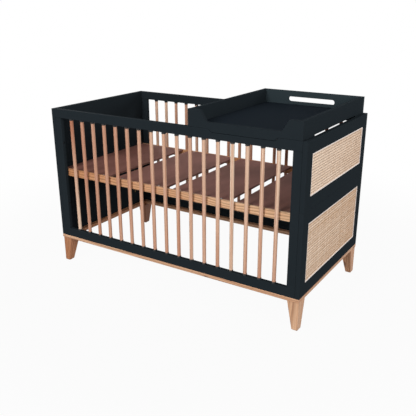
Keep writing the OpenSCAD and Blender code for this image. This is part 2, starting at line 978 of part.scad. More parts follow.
// Loose dowel across the joint, longer and thicker by the room given
module tray_dowel(room, side_room) {
    translate([0, tray_dowel_l / 2 - tray_dowel_in, 0])
        rod_y(tray_dowel_l + 2 * room, tray_dowel_d + 2 * side_room);
}

// Plate of thickness t on the level of the floor's underside, past the tray's inside by edge all round
module floor_plate(edge, t, room) {
    translate([tray_x, 0, box_top + tray_floor_up + t / 2])
        cube([tray_in_l + 2 * edge, tray_in_w + 2 * edge, t + 2 * room], center = true);
}

// Room for the floor's tongue and for the dowels in the tray's panels
module tray_cuts() {
    floor_plate(groove_d, tongue_t, hole_gap);
    both_sides() at_tray_dowels() tray_dowel(end_gap, hole_gap);
}

// Panel across the front of the tray, from its outline
module tray_cross_panel() {
    translate([tray_x, (tray_t - crib_w) / 2, box_top]) rotate([90, 0, 0])
        linear_extrude(tray_t, center = true) children();
}

// Side panel of the tray on its right or left, with a foot inside the box at each end
module tray_side_panel(side) {
    foot_y = (inner_w - side_foot_l) / 2 - lip_gap;
    difference() {
        translate([tray_x + side * (tray_l - tray_t) / 2, 0, box_top]) {
            translate([0, 0, tray_side_up]) bar_y(tray_in_w, tray_t, tray_h - tray_side_up, edge_r);
            for (s = [-1, 1]) translate([0, s * foot_y, -side_foot_h])
                bar_y(side_foot_l, tray_t, side_foot_h + tray_side_up + 2 * edge_r, edge_r);
        }
        tray_cuts();
    }
}

module tray_front() {
    color("#20282c") difference() {
        tray_cross_panel() scooped_outline();
        tray_cuts();
    }
}

module tray_back() {
    color("#20282c") difference() {
        mirror([0, 1, 0]) tray_cross_panel() slotted_outline();
        tray_cuts();
    }
}

module tray_left() {
    color("#20282c") tray_side_panel(-1);
}

module tray_right() {
    color("#20282c") tray_side_panel(1);
}

module tray_floor() {
    color("#20282c") {
        floor_plate(groove_d - fit_gap, tongue_t, 0);
        floor_plate(-fit_gap, tray_floor_t, 0);
    }
}

module tray_dowels() {
    color("burlywood") both_sides() at_tray_dowels() tray_dowel(0, 0);
}

plinth_rail_front();
plinth_rail_back();
plinth_rail_left();
plinth_rail_right();
leg_front_left();
leg_front_right();
leg_back_left();
leg_back_right();
leg_glides();
leg_screws();
plinth_screws();
end_left_lower();
end_left_upper();
end_right_lower();
end_right_upper();
cane_left_lower();
cane_left_upper();
cane_right_lower();
cane_right_upper();
spline_left_lower();
spline_left_upper();
spline_right_lower();
spline_right_upper();
end_dowels();
side_bolt_inserts();
support_inserts();
front_top_rail();
front_bottom_rail();
front_left_stile();
front_right_stile();
front_slats();
front_slat_sockets();
back_top_rail();
back_bottom_rail();
back_left_stile();
back_right_stile();
back_slats();
back_slat_sockets();
stile_dowels();
side_bolts();
base_front_rail();
base_back_rail();
base_left_rail();
base_right_rail();
base_board_1();
base_board_2();
base_board_3();
base_board_4();
base_board_screws();
base_rail_dowels();
hanger_plates();
hanger_screws();
support_bolts();
tray_front();
tray_back();
tray_left();
tray_right();
tray_floor();
tray_dowels();
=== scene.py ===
# %% [markdown]
# # Dressing a convertible crib
#
# The crib comes packed from its CAD source as a fixed frame: every rail, slat and screw is already
# the right size and in the right place, in metres, with the floor at Z = 0. This lesson keeps all of
# that and works on what the eye sees: lacquer, wood, cane, black plastic and steel.

# %% Load the frame
import json
import math
from collections import namedtuple

import bmesh
import bpy
import numpy as np
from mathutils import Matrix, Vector


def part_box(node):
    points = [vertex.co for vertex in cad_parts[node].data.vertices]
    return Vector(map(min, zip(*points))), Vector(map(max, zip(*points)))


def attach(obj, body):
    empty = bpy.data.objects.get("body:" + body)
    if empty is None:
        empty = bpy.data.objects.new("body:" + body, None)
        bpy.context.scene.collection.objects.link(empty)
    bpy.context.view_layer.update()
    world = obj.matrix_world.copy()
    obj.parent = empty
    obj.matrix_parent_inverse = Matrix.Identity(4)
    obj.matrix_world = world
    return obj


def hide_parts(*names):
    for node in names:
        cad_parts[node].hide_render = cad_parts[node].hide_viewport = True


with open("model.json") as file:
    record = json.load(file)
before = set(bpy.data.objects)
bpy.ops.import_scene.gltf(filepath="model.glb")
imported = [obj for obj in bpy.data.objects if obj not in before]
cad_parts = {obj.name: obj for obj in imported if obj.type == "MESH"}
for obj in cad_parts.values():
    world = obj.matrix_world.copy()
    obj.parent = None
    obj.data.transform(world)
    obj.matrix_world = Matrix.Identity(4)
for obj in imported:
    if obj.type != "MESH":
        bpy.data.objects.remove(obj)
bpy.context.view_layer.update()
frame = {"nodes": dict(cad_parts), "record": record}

nodes = frame["nodes"]
bodies = frame["record"]["behaviour"]["bodies"]
body_of_node = {node: body for body, members in bodies.items() for node in members}
slot_of_node = {part["node"]: part["material_slot"] for part in frame["record"]["subparts"]}

# %% [markdown]
# ## The camera
#
# The photograph was taken from beyond the crib's right front corner, a little above its top. The
# place and the turn below come from fitting a pinhole camera to the straight edges of the crib. A
# 36 mm wide square sensor with this lens gives the photograph's frame, with no shift.

# %% Camera
CAMERA_PLACE = (1.5938, -2.4704, 1.3970)
CAMERA_TURN = (70.2424, 0.1097, 32.5698)
SENSOR, LENS = 36.0, 49.668

camera = bpy.data.objects.new("photo_camera", bpy.data.cameras.new("photo_camera"))
bpy.context.scene.collection.objects.link(camera)
camera.location = CAMERA_PLACE
camera.rotation_euler = [math.radians(angle) for angle in CAMERA_TURN]
camera.data.sensor_width = SENSOR
camera.data.lens = LENS
bpy.context.scene.camera = camera
print("camera at", tuple(round(c, 3) for c in camera.location))

# %% [markdown]
# ## Shader maths as plain expressions
#
# A node tree is arithmetic drawn as boxes. The first class below wraps one output socket, so that an
# expression such as `0.3 + 0.5 * mask` adds the Math nodes by itself, and a material reads like the
# formula that it is. Numbers that don't vary are worked out in Python and never become nodes.

# %% Wires and node trees
class Wire:
    """An output socket. Arithmetic on it adds Math nodes to the tree that it belongs to."""

    def __init__(self, owner, socket):
        self.owner = owner
        self.socket = socket

    def math(self, operation, *others):
        return self.owner.node("ShaderNodeMath", {"operation": operation}, self, *others)

    def __add__(self, other):
        return self.math("ADD", other)

    def __mul__(self, other):
        return self.math("MULTIPLY", other)

    def __sub__(self, other):
        return self.math("SUBTRACT", other)

    def __rsub__(self, other):
        return self.owner.node("ShaderNodeMath", {"operation": "SUBTRACT"}, other, self)

    def __truediv__(self, other):
        return self.math("DIVIDE", other)

    __radd__ = __add__
    __rmul__ = __mul__

    def step(self, low, high):
        """0 below low, 1 above high, and a smooth rise between them."""
        return self.owner.node(
            "ShaderNodeMapRange", {"interpolation_type": "SMOOTHSTEP"}, self, low, high, 0.0, 1.0
        )


class NodeTree:
    """A tree of nodes that is written with wires."""

    def __init__(self, tree):
        self.tree = tree

    def node(self, kind, settings, *inputs, out=0, **named):
        """Adds one node: its settings first, then its sockets by place or by name."""
        made = self.tree.nodes.new(kind)
        for name, value in settings.items():
            setattr(made, name, value)
        by_name = {name.replace("_", " "): value for name, value in named.items()}
        for key, value in (*enumerate(inputs), *by_name.items()):
            self.feed(made.inputs[key], value)
        return Wire(self, made.outputs[out])

    def feed(self, socket, value):
        """Links a wire to the socket, or sets the socket to a plain value."""
        if isinstance(value, Wire):
            self.tree.links.new(value.socket, socket)
        else:
            socket.default_value = value


# %% Finishes as node trees
class Finish(NodeTree):
    """A material, with the nodes that the finishes below have in common."""

    def __init__(self, name):
        self.material = bpy.data.materials.new(name)
        self.material.use_nodes = True
        super().__init__(self.material.node_tree)
        self.shader = self.tree.nodes["Principled BSDF"]

    def shade(self, **named):
        """Sets sockets of the shader itself, with _ for a space in their names."""
        for key, value in named.items():
            self.feed(self.shader.inputs[key.replace("_", " ")], value)

    def place(self):
        return self.node("ShaderNodeTexCoord", {}, out="Object")

    def attribute(self, name, out="Fac"):
        return self.node("ShaderNodeAttribute", {"attribute_name": name}, out=out)

    def scaled(self, vector, factors):
        return self.node("ShaderNodeVectorMath", {"operation": "MULTIPLY"}, vector, factors)

    def length(self, vector):
        return self.node("ShaderNodeVectorMath", {"operation": "LENGTH"}, vector, out="Value")

    def noise(self, vector, scale, detail=2.0, roughness=0.5):
        """Soft random waves, so many in a metre, with detail more octaves of finer ones."""
        return self.node(
            "ShaderNodeTexNoise", {}, Vector=vector, Scale=scale, Detail=detail, Roughness=roughness
        )

    def drawn_out(self, grain, along, across, detail=2.0, roughness=0.5):
        """Noise with so many waves in a metre along the fibres and so many across them."""
        return self.noise(self.scaled(grain, (along, across, across)), 1.0, detail, roughness)

    def mix(self, factor, first, second):
        """A colour that goes from first to second as the factor goes from 0 to 1. The Mix node has
        sockets for each kind of value, and those of colours are inputs 6 and 7 and output 2."""
        made = self.tree.nodes.new("ShaderNodeMix")
        made.data_type = "RGBA"
        self.feed(made.inputs[0], factor)
        for socket, value in ((6, first), (7, second)):
            self.feed(made.inputs[socket], value if isinstance(value, Wire) else (*value, 1.0))
        return Wire(self, made.outputs[2])

    def bump(self, height, distance):
        """Relief as a Normal: the height times the distance in metres."""
        return self.node("ShaderNodeBump", {}, Strength=1.0, Distance=distance, Height=height)


def srgb(code):
    """Linear colour of a hexadecimal screen colour."""
    parts = [int(code[i:i + 2], 16) / 255 for i in (0, 2, 4)]
    return tuple(c / 12.92 if c <= 0.04045 else ((c + 0.055) / 1.055) ** 2.4 for c in parts)


print("srgb('808080') is", tuple(round(c, 3) for c in srgb("808080")))

# %% [markdown]
# ## Finishes
#
# ### Blue-black lacquer
#
# The box and the tray are sprayed with a very dark, slightly blue lacquer that is almost matt. A
# spray gun leaves a fine stipple, and the wood's grain shows faintly through it as low relief. A dark
# colour is easily washed out by the white room that it reflects, so its specular level is low, and
# the roughness wanders a little while the colour hardly does. One paint is mixed three times: the
# tray's floor gets a darker copy as painted shade, and the tray's back a lighter copy as painted
# light, so that both show as they do in the photograph.

# %% Lacquer
LACQUER_RELIEF = 0.00008


def lacquer(name, dark, light):
    """Soft clouds between two near colours, with fibres and stipple as relief."""
    paint = Finish(name)
    place = paint.place()
    clouds = paint.noise(place, 6.0, detail=3.0)
    stipple = paint.noise(place, 900.0, detail=1.0)
    fibre = paint.drawn_out(paint.attribute("grain", "Vector"), 8.0, 300.0, detail=3.0)
    paint.shade(
        Base_Color=paint.mix(clouds, dark, light),
        Roughness=0.62 + 0.12 * clouds,
        Specular_IOR_Level=0.002,
        Normal=paint.bump(0.6 * fibre + 0.4 * stipple, LACQUER_RELIEF),
    )
    return paint.material


LACQUER = lacquer("blue_black_lacquer", srgb("1f2529"), srgb("23292d"))
# Darker copy as painted shade on the tray's floor, lighter copy as painted light on its back
LACQUER_PAINTED_SHADE = lacquer("blue_black_lacquer_painted_shade", srgb("1a2026"), srgb("1d2329"))
LACQUER_PAINTED_LIGHT = lacquer("blue_black_lacquer_painted_light", srgb("2c3539"), srgb("30393d"))
print("made", LACQUER.name, LACQUER_PAINTED_SHADE.name, "and", LACQUER_PAINTED_LIGHT.name)

# %% [markdown]
# ### Natural wood
#
# Slats, plinth, legs and the base's rails are a light hardwood with a clear matt varnish. Wood is
# drawn here in the board's own coordinates, which each piece carries as an attribute called grain:
# its first number runs along the fibres and the other two across them. Growth rings are circles
# round a pith that lies beside the board, bent by slow noise along the fibres. Fine fibres and
# short dark pores lie over them, and a second attribute, tone, makes one stick redder than the next.
# A tone of 0 is a pale stick and 1 a warm one, and what it has above 1 turns it dark, which some
# pieces use as painted shade.

# %% Wood
WOOD_RELIEF = 0.00018
# Shares of tone and of slow sway, about its mean, in the way from pale to warm
TONE_SHARE, SWAY_SHARE, SWAY_MEAN = 0.75, 0.8, 0.45
# Share of the tone above 1 in the way to dark, which also carries painted shade
DEEP_SHARE = 0.8
KNOT_BROWN, PORE_BROWN = srgb("5b3a26"), srgb("6b452f")


def wood(name, pale, warm, dark, ring_pitch, contrast=0.35, streaks=0.35, knots=0.0, own=True):
    """Tone picks a colour between pale, warm and dark, streaks warm it, and rings and fibres darken
    it. Knots is how closely knots lie, with 0 for none. A CAD node that is kept has no attributes,
    so with own=False the grain is read from the object's own coordinates, with a tone of 0."""
    timber = Finish(name)
    grain = timber.attribute("grain", "Vector") if own else timber.place()
    tone = timber.attribute("tone")
    sway = timber.drawn_out(grain, 1.6, 8.0)
    radius = timber.length(timber.scaled(grain, (0.0, 1.0, 1.0)))
    rings = (radius / ring_pitch + 5.0 * sway).math("FRACT").step(0.3, 1.0)
    fibre = timber.drawn_out(grain, 12.0, 800.0, detail=3.0, roughness=0.6)
    streak = timber.drawn_out(grain, 1.3, 240.0).step(0.38, 0.66)
    pores = timber.drawn_out(grain, 60.0, 1500.0, detail=0.0).step(0.66, 0.74)
    colour = timber.mix(TONE_SHARE * tone + SWAY_SHARE * (sway - SWAY_MEAN), pale, warm)
    colour = timber.mix(streaks * streak, colour, warm)
    colour = timber.mix(DEEP_SHARE * (tone - 1.0), colour, dark)
    colour = timber.mix(contrast * rings + fibre.step(0.35, 0.75) * 0.18, colour, dark)
    if knots:
        cell = timber.node(
            "ShaderNodeTexVoronoi", {"feature": "F1"}, Vector=timber.scaled(grain, (5.0, 9.0, 9.0)),
            Scale=knots, Randomness=1.0, out="Distance",
        )
        knot = 1.0 - cell.step(0.05, 0.13)
        colour = timber.mix(knot * 0.75, colour, KNOT_BROWN)
    colour = timber.mix(pores * 0.3, colour, PORE_BROWN)
    timber.shade(
        Base_Color=colour,
        Roughness=0.6 - 0.14 * fibre,
        Specular_IOR_Level=0.3,
        Normal=timber.bump(0.6 * fibre + 0.4 * rings - 0.5 * pores, WOOD_RELIEF),
    )
    return timber.material


PLINTH_WOOD = wood(
    "plinth_wood", srgb("dfba99"), srgb("ac7049"), srgb("6f3e22"), ring_pitch=0.009, contrast=0.5,
    streaks=0.45, knots=1.0,
)
SLAT_WOOD = wood(
    "slat_wood", srgb("f4dfc5"), srgb("b27a5f"), srgb("864a32"), ring_pitch=0.005, streaks=0.75
)
BASE_WOOD = wood(
    "base_wood", srgb("ebc6a0"), srgb("c07f50"), srgb("80502f"), ring_pitch=0.008, contrast=0.6,
    knots=1.0,
)
DOWEL_WOOD = wood(
    "dowel_wood", srgb("d8b48c"), srgb("c79f76"), srgb("a77d56"), ring_pitch=0.002, own=False
)
print("made", PLINTH_WOOD.name, SLAT_WOOD.name, BASE_WOOD.name, "and", DOWEL_WOOD.name)

# %% [markdown]
# ### Film-faced board
#
# The four boards of the mattress base are thin plywood with a brown resin film. The film is even and
# a little dull, with the face veneer's fibres pressed through it and some lighter rubbed patches.

# %% Board film
FILM_RELIEF = 0.0001


def board_film():
    """Patches of a lighter brown, with darker fibres over both."""
    film = Finish("board_film")
    grain = film.attribute("grain", "Vector")
    fibre = film.drawn_out(grain, 9.0, 500.0, detail=3.0, roughness=0.6)
    patches = film.drawn_out(grain, 3.0, 7.0, detail=4.0)
    colour = film.mix(patches.step(0.3, 0.7), srgb("754f45"), srgb("8a6057"))
    colour = film.mix(fibre.step(0.45, 0.8) * 0.4, colour, srgb("5a3c36"))
    film.shade(
        Base_Color=colour,
        Roughness=0.55 + 0.15 * patches,
        Specular_IOR_Level=0.08,
        Normal=film.bump(fibre, FILM_RELIEF),
    )
    return film.material


BOARD_FILM = board_film()
print("made", BOARD_FILM.name)

# %% [markdown]
# ### Cane and reed
#
# Cane is the shiny skin of rattan, split into thin ribbons. Every ribbon comes from another stem, so
# a tone attribute shifts each one between straw and honey, and darker flecks run along it. Its cut
# rims are browner, and the low creases between its crowns are darker as painted shade; one
# attribute marks both. The reed spline is the pale core of the same plant, round and duller.

# %% Cane and reed
CANE_RELIEF = 0.00008


def cane_skin(name, pale, honey, fleck, gloss):
    """Tone and long fibres pick a colour between pale and honey, and flecks and cut rims are browner.
    The creases between crowns are darker as painted shade.
    """
    cane = Finish(name)
    grain = cane.attribute("grain", "Vector")
    along = cane.drawn_out(grain, 25.0, 400.0, detail=3.0)
    flecks = cane.drawn_out(grain, 70.0, 300.0, detail=1.0).step(0.58, 0.7)
    colour = cane.mix(cane.attribute("tone") * 0.7 + along.step(0.3, 0.7) * 0.3, pale, honey)
    # Cut rims are browner, and the creases between crowns darker as painted shade
    rim_and_shade = cane.attribute("edge").step(0.5, 1.0)
    colour = cane.mix(0.75 * rim_and_shade + flecks * 0.4, colour, fleck)
    cane.shade(
        Base_Color=colour,
        Roughness=gloss + 0.2 * along,
        Specular_IOR_Level=0.4,
        Normal=cane.bump(along, CANE_RELIEF),
    )
    return cane.material


CANE = cane_skin("cane_skin", srgb("ffe8d1"), srgb("cda682"), srgb("764a31"), 0.45)
REED = cane_skin("reed_core", srgb("efe6e1"), srgb("e2d3ca"), srgb("bfa797"), 0.6)
print("made", CANE.name, "and", REED.name)

# %% [markdown]
# ### Plastic and metal
#
# Moulded plastic has a fine even grain. Plated steel shows fine turning marks, and its colour is the
# reflection itself, so it is metallic. Powder coat on the hanger plates is black with a pebbled skin.

# %% Plastic and metal
PLATED_RELIEF = 0.00002


def moulded(name, colour, roughness, pebbles=2500.0, relief=0.00003):
    """An even colour, smudged a third lighter in places, with so many pebbles in a metre."""
    skin = Finish(name)
    place = skin.place()
    smudge = skin.noise(place, 40.0)
    lighter = tuple(min(1.0, c * 1.35 + 0.002) for c in colour)
    skin.shade(
        Base_Color=skin.mix(smudge, colour, lighter),
        Roughness=roughness + 0.12 * smudge,
        Specular_IOR_Level=0.45,
        Normal=skin.bump(skin.noise(place, pebbles, detail=1.0), relief),
    )
    return skin.material


def plated(name, colour, dull, roughness):
    """Bright metal with duller smudges, and fine marks that run across X, as turning leaves them."""
    metal = Finish(name)
    place = metal.place()
    smudge = metal.noise(place, 120.0)
    metal.shade(
        Base_Color=metal.mix(smudge, colour, dull),
        Metallic=1.0,
        Roughness=roughness + 0.15 * smudge,
        Normal=metal.bump(metal.drawn_out(place, 3000.0, 400.0), PLATED_RELIEF),
    )
    return metal.material


SOCKET_PLASTIC = moulded("socket_plastic", srgb("0a0b0d"), 0.34)
GLIDE_PLASTIC = moulded("glide_plastic", srgb("6f6f6e"), 0.5)
BLACK_STEEL = moulded("black_steel", srgb("17181a"), 0.45, pebbles=1400.0, relief=0.00008)
ZINC_STEEL = plated("zinc_steel", srgb("c9cacc"), srgb("a3a5a8"), 0.28)
INSERT_BRASS = plated("insert_brass", srgb("9a8458"), srgb("6f5c3a"), 0.45)
FINISHES = {
    "dark_paint": LACQUER, "plinth_wood": PLINTH_WOOD, "slat_wood": SLAT_WOOD, "base_wood": BASE_WOOD,
    "dowel_wood": DOWEL_WOOD, "board_film": BOARD_FILM, "cane": CANE, "reed": REED,
    "socket_plastic": SOCKET_PLASTIC, "glide_plastic": GLIDE_PLASTIC, "black_steel": BLACK_STEEL,
    "zinc_steel": ZINC_STEEL, "insert_brass": INSERT_BRASS,
}
print(len(FINISHES), "finishes for", sorted(FINISHES))

# %% [markdown]
# ## Putting a finished mesh in the scene
#
# A piece stands for one CAD node: it rides on the same body, takes the same material slot, and hides
# the node. Its own grain coordinates are worked out from its points with numpy: the first axis runs
# along the fibres, and a shift drawn from a seeded generator moves each board to another part of the
# tree, so no two boards show the same rings.

# %% Pieces and their grain
chance = np.random.default_rng(24)
ALONG_X, ALONG_Y, ALONG_Z = (0, 1, 2), (1, 2, 0), (2, 0, 1)
# Farthest shift along the fibres, and nearest and farthest pith beside a board and beside a slat
FAR_ALONG = 9
BOARD_PITH = (0.03, 0.09)
SLAT_PITH = (0.02, 0.05)


def points_of(mesh):
    """All points of the mesh, one to a row."""
    points = np.empty(len(mesh.vertices) * 3)
    mesh.vertices.foreach_get("co", points)
    return points.reshape(-1, 3)


def put_attribute(mesh, name, values):
    """Stores one number or one vector for each point of the mesh."""
    kind, key = ("FLOAT", "value") if values.ndim == 1 else ("FLOAT_VECTOR", "vector")
    mesh.attributes.new(name, kind, "POINT").data.foreach_set(key, values.astype(np.float32).ravel())


def put_grain(mesh, axes, tone=None):
    """Grain coordinates: the points less their middle, in the order of axes, plus a random shift
    along the fibres and a pith beside the board. One tone is for the whole board, and two are for
    its ends, with a straight change between them. Without one it is random."""
    points = points_of(mesh)
    middle = (points.min(0) + points.max(0)) / 2
    shift = chance.uniform(-FAR_ALONG, FAR_ALONG)
    pith = chance.uniform(*BOARD_PITH, 2) * chance.choice([-1, 1], 2)
    put_attribute(mesh, "grain", (points - middle)[:, axes] + np.array([shift, *pith]))
    if tone is None:
        tone = chance.uniform(0, 1)
    ends = (tone, tone) if np.isscalar(tone) else tone
    along = points[:, axes[0]]
    put_attribute(mesh, "tone", np.interp(along, (along.min(), along.max()), ends))


def stand_for(piece, node):
    """The piece takes the node's body, slot and finish, and hides the node."""
    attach(piece, body_of_node[node])
    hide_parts(node)
    piece.data.materials.clear()
    piece.data.materials.append(FINISHES[slot_of_node[node]])
    return piece


def new_piece(name, mesh):
    """An object at the origin with that mesh."""
    piece = bpy.data.objects.new(name, mesh)
    bpy.context.scene.collection.objects.link(piece)
    return piece


print("grain along X, Y and Z are", ALONG_X, ALONG_Y, ALONG_Z)

# %% [markdown]
# ## Boards and rails with eased edges
#
# No joiner leaves an edge sharp: sandpaper and lacquer round it, and that thin rounded line catches
# the light. The CAD mesh is exact but made of loose triangles, so a copy of it is welded, its flat
# triangles are dissolved into whole faces, and a Bevel modifier rounds what is still sharper than
# 40 degrees. Normals that lean on the larger faces then keep a flat board flat up to its round edge.
# Each modifier is applied as soon as it is set, so that the grain is measured on the final points.

# %% Ease the edges of a CAD copy
WELD = 0.00001
FLAT_WITHIN = math.radians(0.6)
EASE_OVER = math.radians(40)
SHARP_OVER = math.radians(32)


def apply_modifiers(piece):
    """Swaps the piece's mesh for the one that its modifiers make of it."""
    seen = piece.evaluated_get(bpy.context.evaluated_depsgraph_get())
    final = bpy.data.meshes.new_from_object(seen)
    piece.modifiers.clear()
    piece.data = final
    final.name = piece.name


def trim_below(mesh, below, lift):
    """Lifts the points that lie below a height."""
    points = points_of(mesh)
    points[points[:, 2] < below, 2] += lift
    mesh.vertices.foreach_set("co", points.ravel())


def eased(node, name, axes, width, segments=3, tone=None, trim=None):
    """A copy of the node's mesh, trimmed if asked, with edges rounded over the width."""
    mesh = nodes[node].data.copy()
    mesh.name = name
    if trim:
        trim_below(mesh, *trim)
    work = bmesh.new()
    work.from_mesh(mesh)
    bmesh.ops.remove_doubles(work, verts=work.verts, dist=WELD)
    bmesh.ops.dissolve_limit(
        work, angle_limit=FLAT_WITHIN, use_dissolve_boundaries=False, verts=work.verts,
        edges=work.edges,
    )
    work.to_mesh(mesh)
    work.free()
    piece = new_piece(name, mesh)
    bevel = piece.modifiers.new("eased_edges", "BEVEL")
    bevel.width = width
    bevel.segments = segments
    bevel.limit_method = "ANGLE"
    bevel.angle_limit = EASE_OVER
    apply_modifiers(piece)
    piece.data.shade_smooth()
    piece.data.set_sharp_from_angle(angle=SHARP_OVER)
    lean = piece.modifiers.new("normals_by_area", "WEIGHTED_NORMAL")
    lean.mode = "FACE_AREA"
    lean.keep_sharp = True
    apply_modifiers(piece)
    put_grain(piece.data, axes, tone)
    return stand_for(piece, node)


print("edges over", round(math.degrees(EASE_OVER)), "degrees are eased")

# %% [markdown]
# ### The painted box and the tray
#
# Ends, rails and stiles are all eased in the same way, and the tray's edges, which arms rest on, are
# rounder. The grain of each runs along its length, which shows faintly through the lacquer: along Y
# in the ends and up in the stiles. Where the tray's front steps down over the front rail, the
# photograph shows a thin dark line between the two. So the lip is trimmed by a millimetre and keeps
# a round edge, while the rail's edge under it stays tight.

# %% Painted box and tray
EASED_PAINT = 0.0014
EASED_TRAY = 0.0025
EASED_OWN = {"tray_front": 0.003, "front_top_rail": 0.0006}
# Height below which points are lifted, and by how much
TRIM = {"tray_front": (0.8745, 0.001)}
# The tray's floor takes the darker copy as painted shade, and the tray's back the lighter one as
# painted light
LACQUER_WITH_PAINTED_LIGHT = {"tray_floor": LACQUER_PAINTED_SHADE, "tray_back": LACQUER_PAINTED_LIGHT}
painted = {
    "end_left_lower": ALONG_Y, "end_left_upper": ALONG_Y,
    "end_right_lower": ALONG_Y, "end_right_upper": ALONG_Y,
    "front_top_rail": ALONG_X, "front_bottom_rail": ALONG_X,
    "front_left_stile": ALONG_Z, "front_right_stile": ALONG_Z,
    "back_top_rail": ALONG_X, "back_bottom_rail": ALONG_X,
    "back_left_stile": ALONG_Z, "back_right_stile": ALONG_Z,
    "tray_front": ALONG_X, "tray_back": ALONG_X, "tray_left": ALONG_Y, "tray_right": ALONG_Y,
    "tray_floor": ALONG_X,
}
for node, axes in painted.items():
    width = EASED_OWN.get(node, EASED_TRAY if node.startswith("tray") else EASED_PAINT)
    piece = eased(node, "painted_" + node, axes, width, trim=TRIM.get(node))
    piece.data.materials[0] = LACQUER_WITH_PAINTED_LIGHT.get(node, LACQUER)
    print(piece.name, len(piece.data.polygons), "faces")

# %% [markdown]
# ### Plinth, legs, base rails and base boards
#
# The same easing suits the natural wood and the film-faced boards, a little rounder on the legs,
# which hands and feet meet. The tones of the pieces that show most follow the photograph: the front
# left leg is redder than the right ones, the back left leg, the left plinth rail and the base's
# rails towards the right and at the front rail's left end are darker as painted shade, and the
# front plinth rail is paler as painted highlight. The others are left to chance.

# %% Natural wood and boards
EASED_WOOD = 0.0010
EASED_LEG = 0.0035
natural = {
    "plinth_rail_front": ALONG_X, "plinth_rail_back": ALONG_X,
    "plinth_rail_left": ALONG_Y, "plinth_rail_right": ALONG_Y,
    "leg_front_left": ALONG_Z, "leg_front_right": ALONG_Z,
    "leg_back_left": ALONG_Z, "leg_back_right": ALONG_Z,
    "base_front_rail": ALONG_X, "base_back_rail": ALONG_X,
    "base_left_rail": ALONG_Y, "base_right_rail": ALONG_Y,
    "base_board_1": ALONG_Y, "base_board_2": ALONG_Y, "base_board_3": ALONG_Y, "base_board_4": ALONG_Y,
}
# One tone for the whole piece, or the tones of its left and right end. The back left leg, the left
# plinth rail, the base's right rail and the right end of its back rail are darker as painted shade,
# as is the left end of the base's front rail, and the front plinth rail is paler as painted highlight
TONE_AND_PAINTED_SHADE = {
    "leg_front_left": 1.1, "leg_front_right": 0.35, "leg_back_left": 1.9, "leg_back_right": 0.65,
    "plinth_rail_front": 0.15, "plinth_rail_left": 0.9, "base_front_rail": (0.85, 0.0),
    "base_back_rail": (0.4, 1.5), "base_right_rail": 1.4,
}
for node, axes in natural.items():
    width = EASED_LEG if node.startswith("leg") else EASED_WOOD
    piece = eased(node, "wooden_" + node, axes, width, tone=TONE_AND_PAINTED_SHADE.get(node))
    print(piece.name, len(piece.data.polygons), "faces")

# %% [markdown]
# ## Turned slats and their sockets
#
# A slat is a dowel from a lathe. A surface of revolution is a profile of radius and height carried
# round an axis: one numpy grid gives all its points at once. All the slats of a side are one piece,
# as in the CAD, and each has its own grain and tone, because a maker takes them from many sticks; at
# the back the tone also carries painted shade.

# %% Grids and turned forms
def grid_quads(rows, columns, wrap_rows=False, wrap_columns=False):
    """Quads over a grid of points that is numbered row by row. Wrapping joins the last to the first."""
    row, column = np.meshgrid(
        np.arange(rows if wrap_rows else rows - 1),
        np.arange(columns if wrap_columns else columns - 1), indexing="ij",
    )
    next_row = (row + 1) % rows
    next_column = (column + 1) % columns
    corners = (
        row * columns + column, row * columns + next_column,
        next_row * columns + next_column, next_row * columns + column,
    )
    return np.stack(corners, -1).reshape(-1, 4)


def turned(profile, sides):
    """Points (r cos t, r sin t, z) for every radius and height of the profile and every angle t."""
    radius, height = np.array(profile).T
    angle = np.arange(sides) * 2 * math.pi / sides
    return np.stack([
        np.outer(radius, np.cos(angle)), np.outer(radius, np.sin(angle)),
        np.repeat(height[:, None], sides, 1),
    ], -1)


def end_caps(rows, sides):
    """The first and the last ring of a turned form, as one face each."""
    return [range(sides), range((rows - 1) * sides, rows * sides)]


print("a grid of 3 by 4 points has", len(grid_quads(3, 4)), "quads")


# %% Rows of copies
def placed_copies(form, quads, caps, places, tones, axes):
    """Repeats one form at each place. Each copy has two tones, of its foot and its head, with a
    straight change between them. Returns points, faces, grain and tone for the whole row."""
    flat = form.reshape(-1, 3)
    count = len(places)
    points = (flat[None] + places[:, None]).reshape(-1, 3)
    begin = np.arange(count) * len(flat)
    faces = (quads[None] + begin[:, None, None]).reshape(-1, quads.shape[1]).tolist()
    faces += [[int(i + b) for i in cap] for b in begin for cap in caps]
    own = flat[:, axes] - flat[:, axes].mean(0)
    shift = chance.uniform(-FAR_ALONG, FAR_ALONG, count)
    shift = np.stack([shift, *chance.uniform(*SLAT_PITH, (2, count))], -1)
    grain = (own[None] + shift[:, None]).reshape(-1, 3)
    share = (flat[:, 2] - flat[:, 2].min()) / np.ptp(flat[:, 2])
    foot, head = tones[:, :1], tones[:, 1:]
    return points, faces, grain, (foot + (head - foot) * share).ravel()


def row_piece(name, parts, node, smooth=35):
    """One closed mesh from points, faces, grain and tone, standing for its node. Edges of less than
    so many degrees are shaded smooth."""
    points, faces, grain, tone = parts
    mesh = bpy.data.meshes.new(name)
    mesh.from_pydata(points.tolist(), [], faces)
    put_attribute(mesh, "grain", grain)
    put_attribute(mesh, "tone", tone)
    work = bmesh.new()
    work.from_mesh(mesh)
    bmesh.ops.recalc_face_normals(work, faces=work.faces)
    work.to_mesh(mesh)
    work.free()
    mesh.shade_smooth()
    mesh.set_sharp_from_angle(angle=math.radians(smooth))
    return stand_for(new_piece(name, mesh), node)


# %% [markdown]
# A slat has straight sides and a small chamfer at both ends. The photograph shows which sticks stand
# where: the tones of the front's feet and heads follow it, with a few very pale, red or dark ones.
# The back's grow darker from left to right as painted shade under the tray.

# %% Slats
SLAT_COUNT = 17
SLAT_R = 0.009
SLAT_SIDES = 28
SLAT_EASE = 0.0008
SLAT_RINGS = 9
# Mean tones of a foot and a head, and how far a stick may lie from them
SLAT_TONE = (0.72, 0.62)
SLAT_SPREAD = 0.12
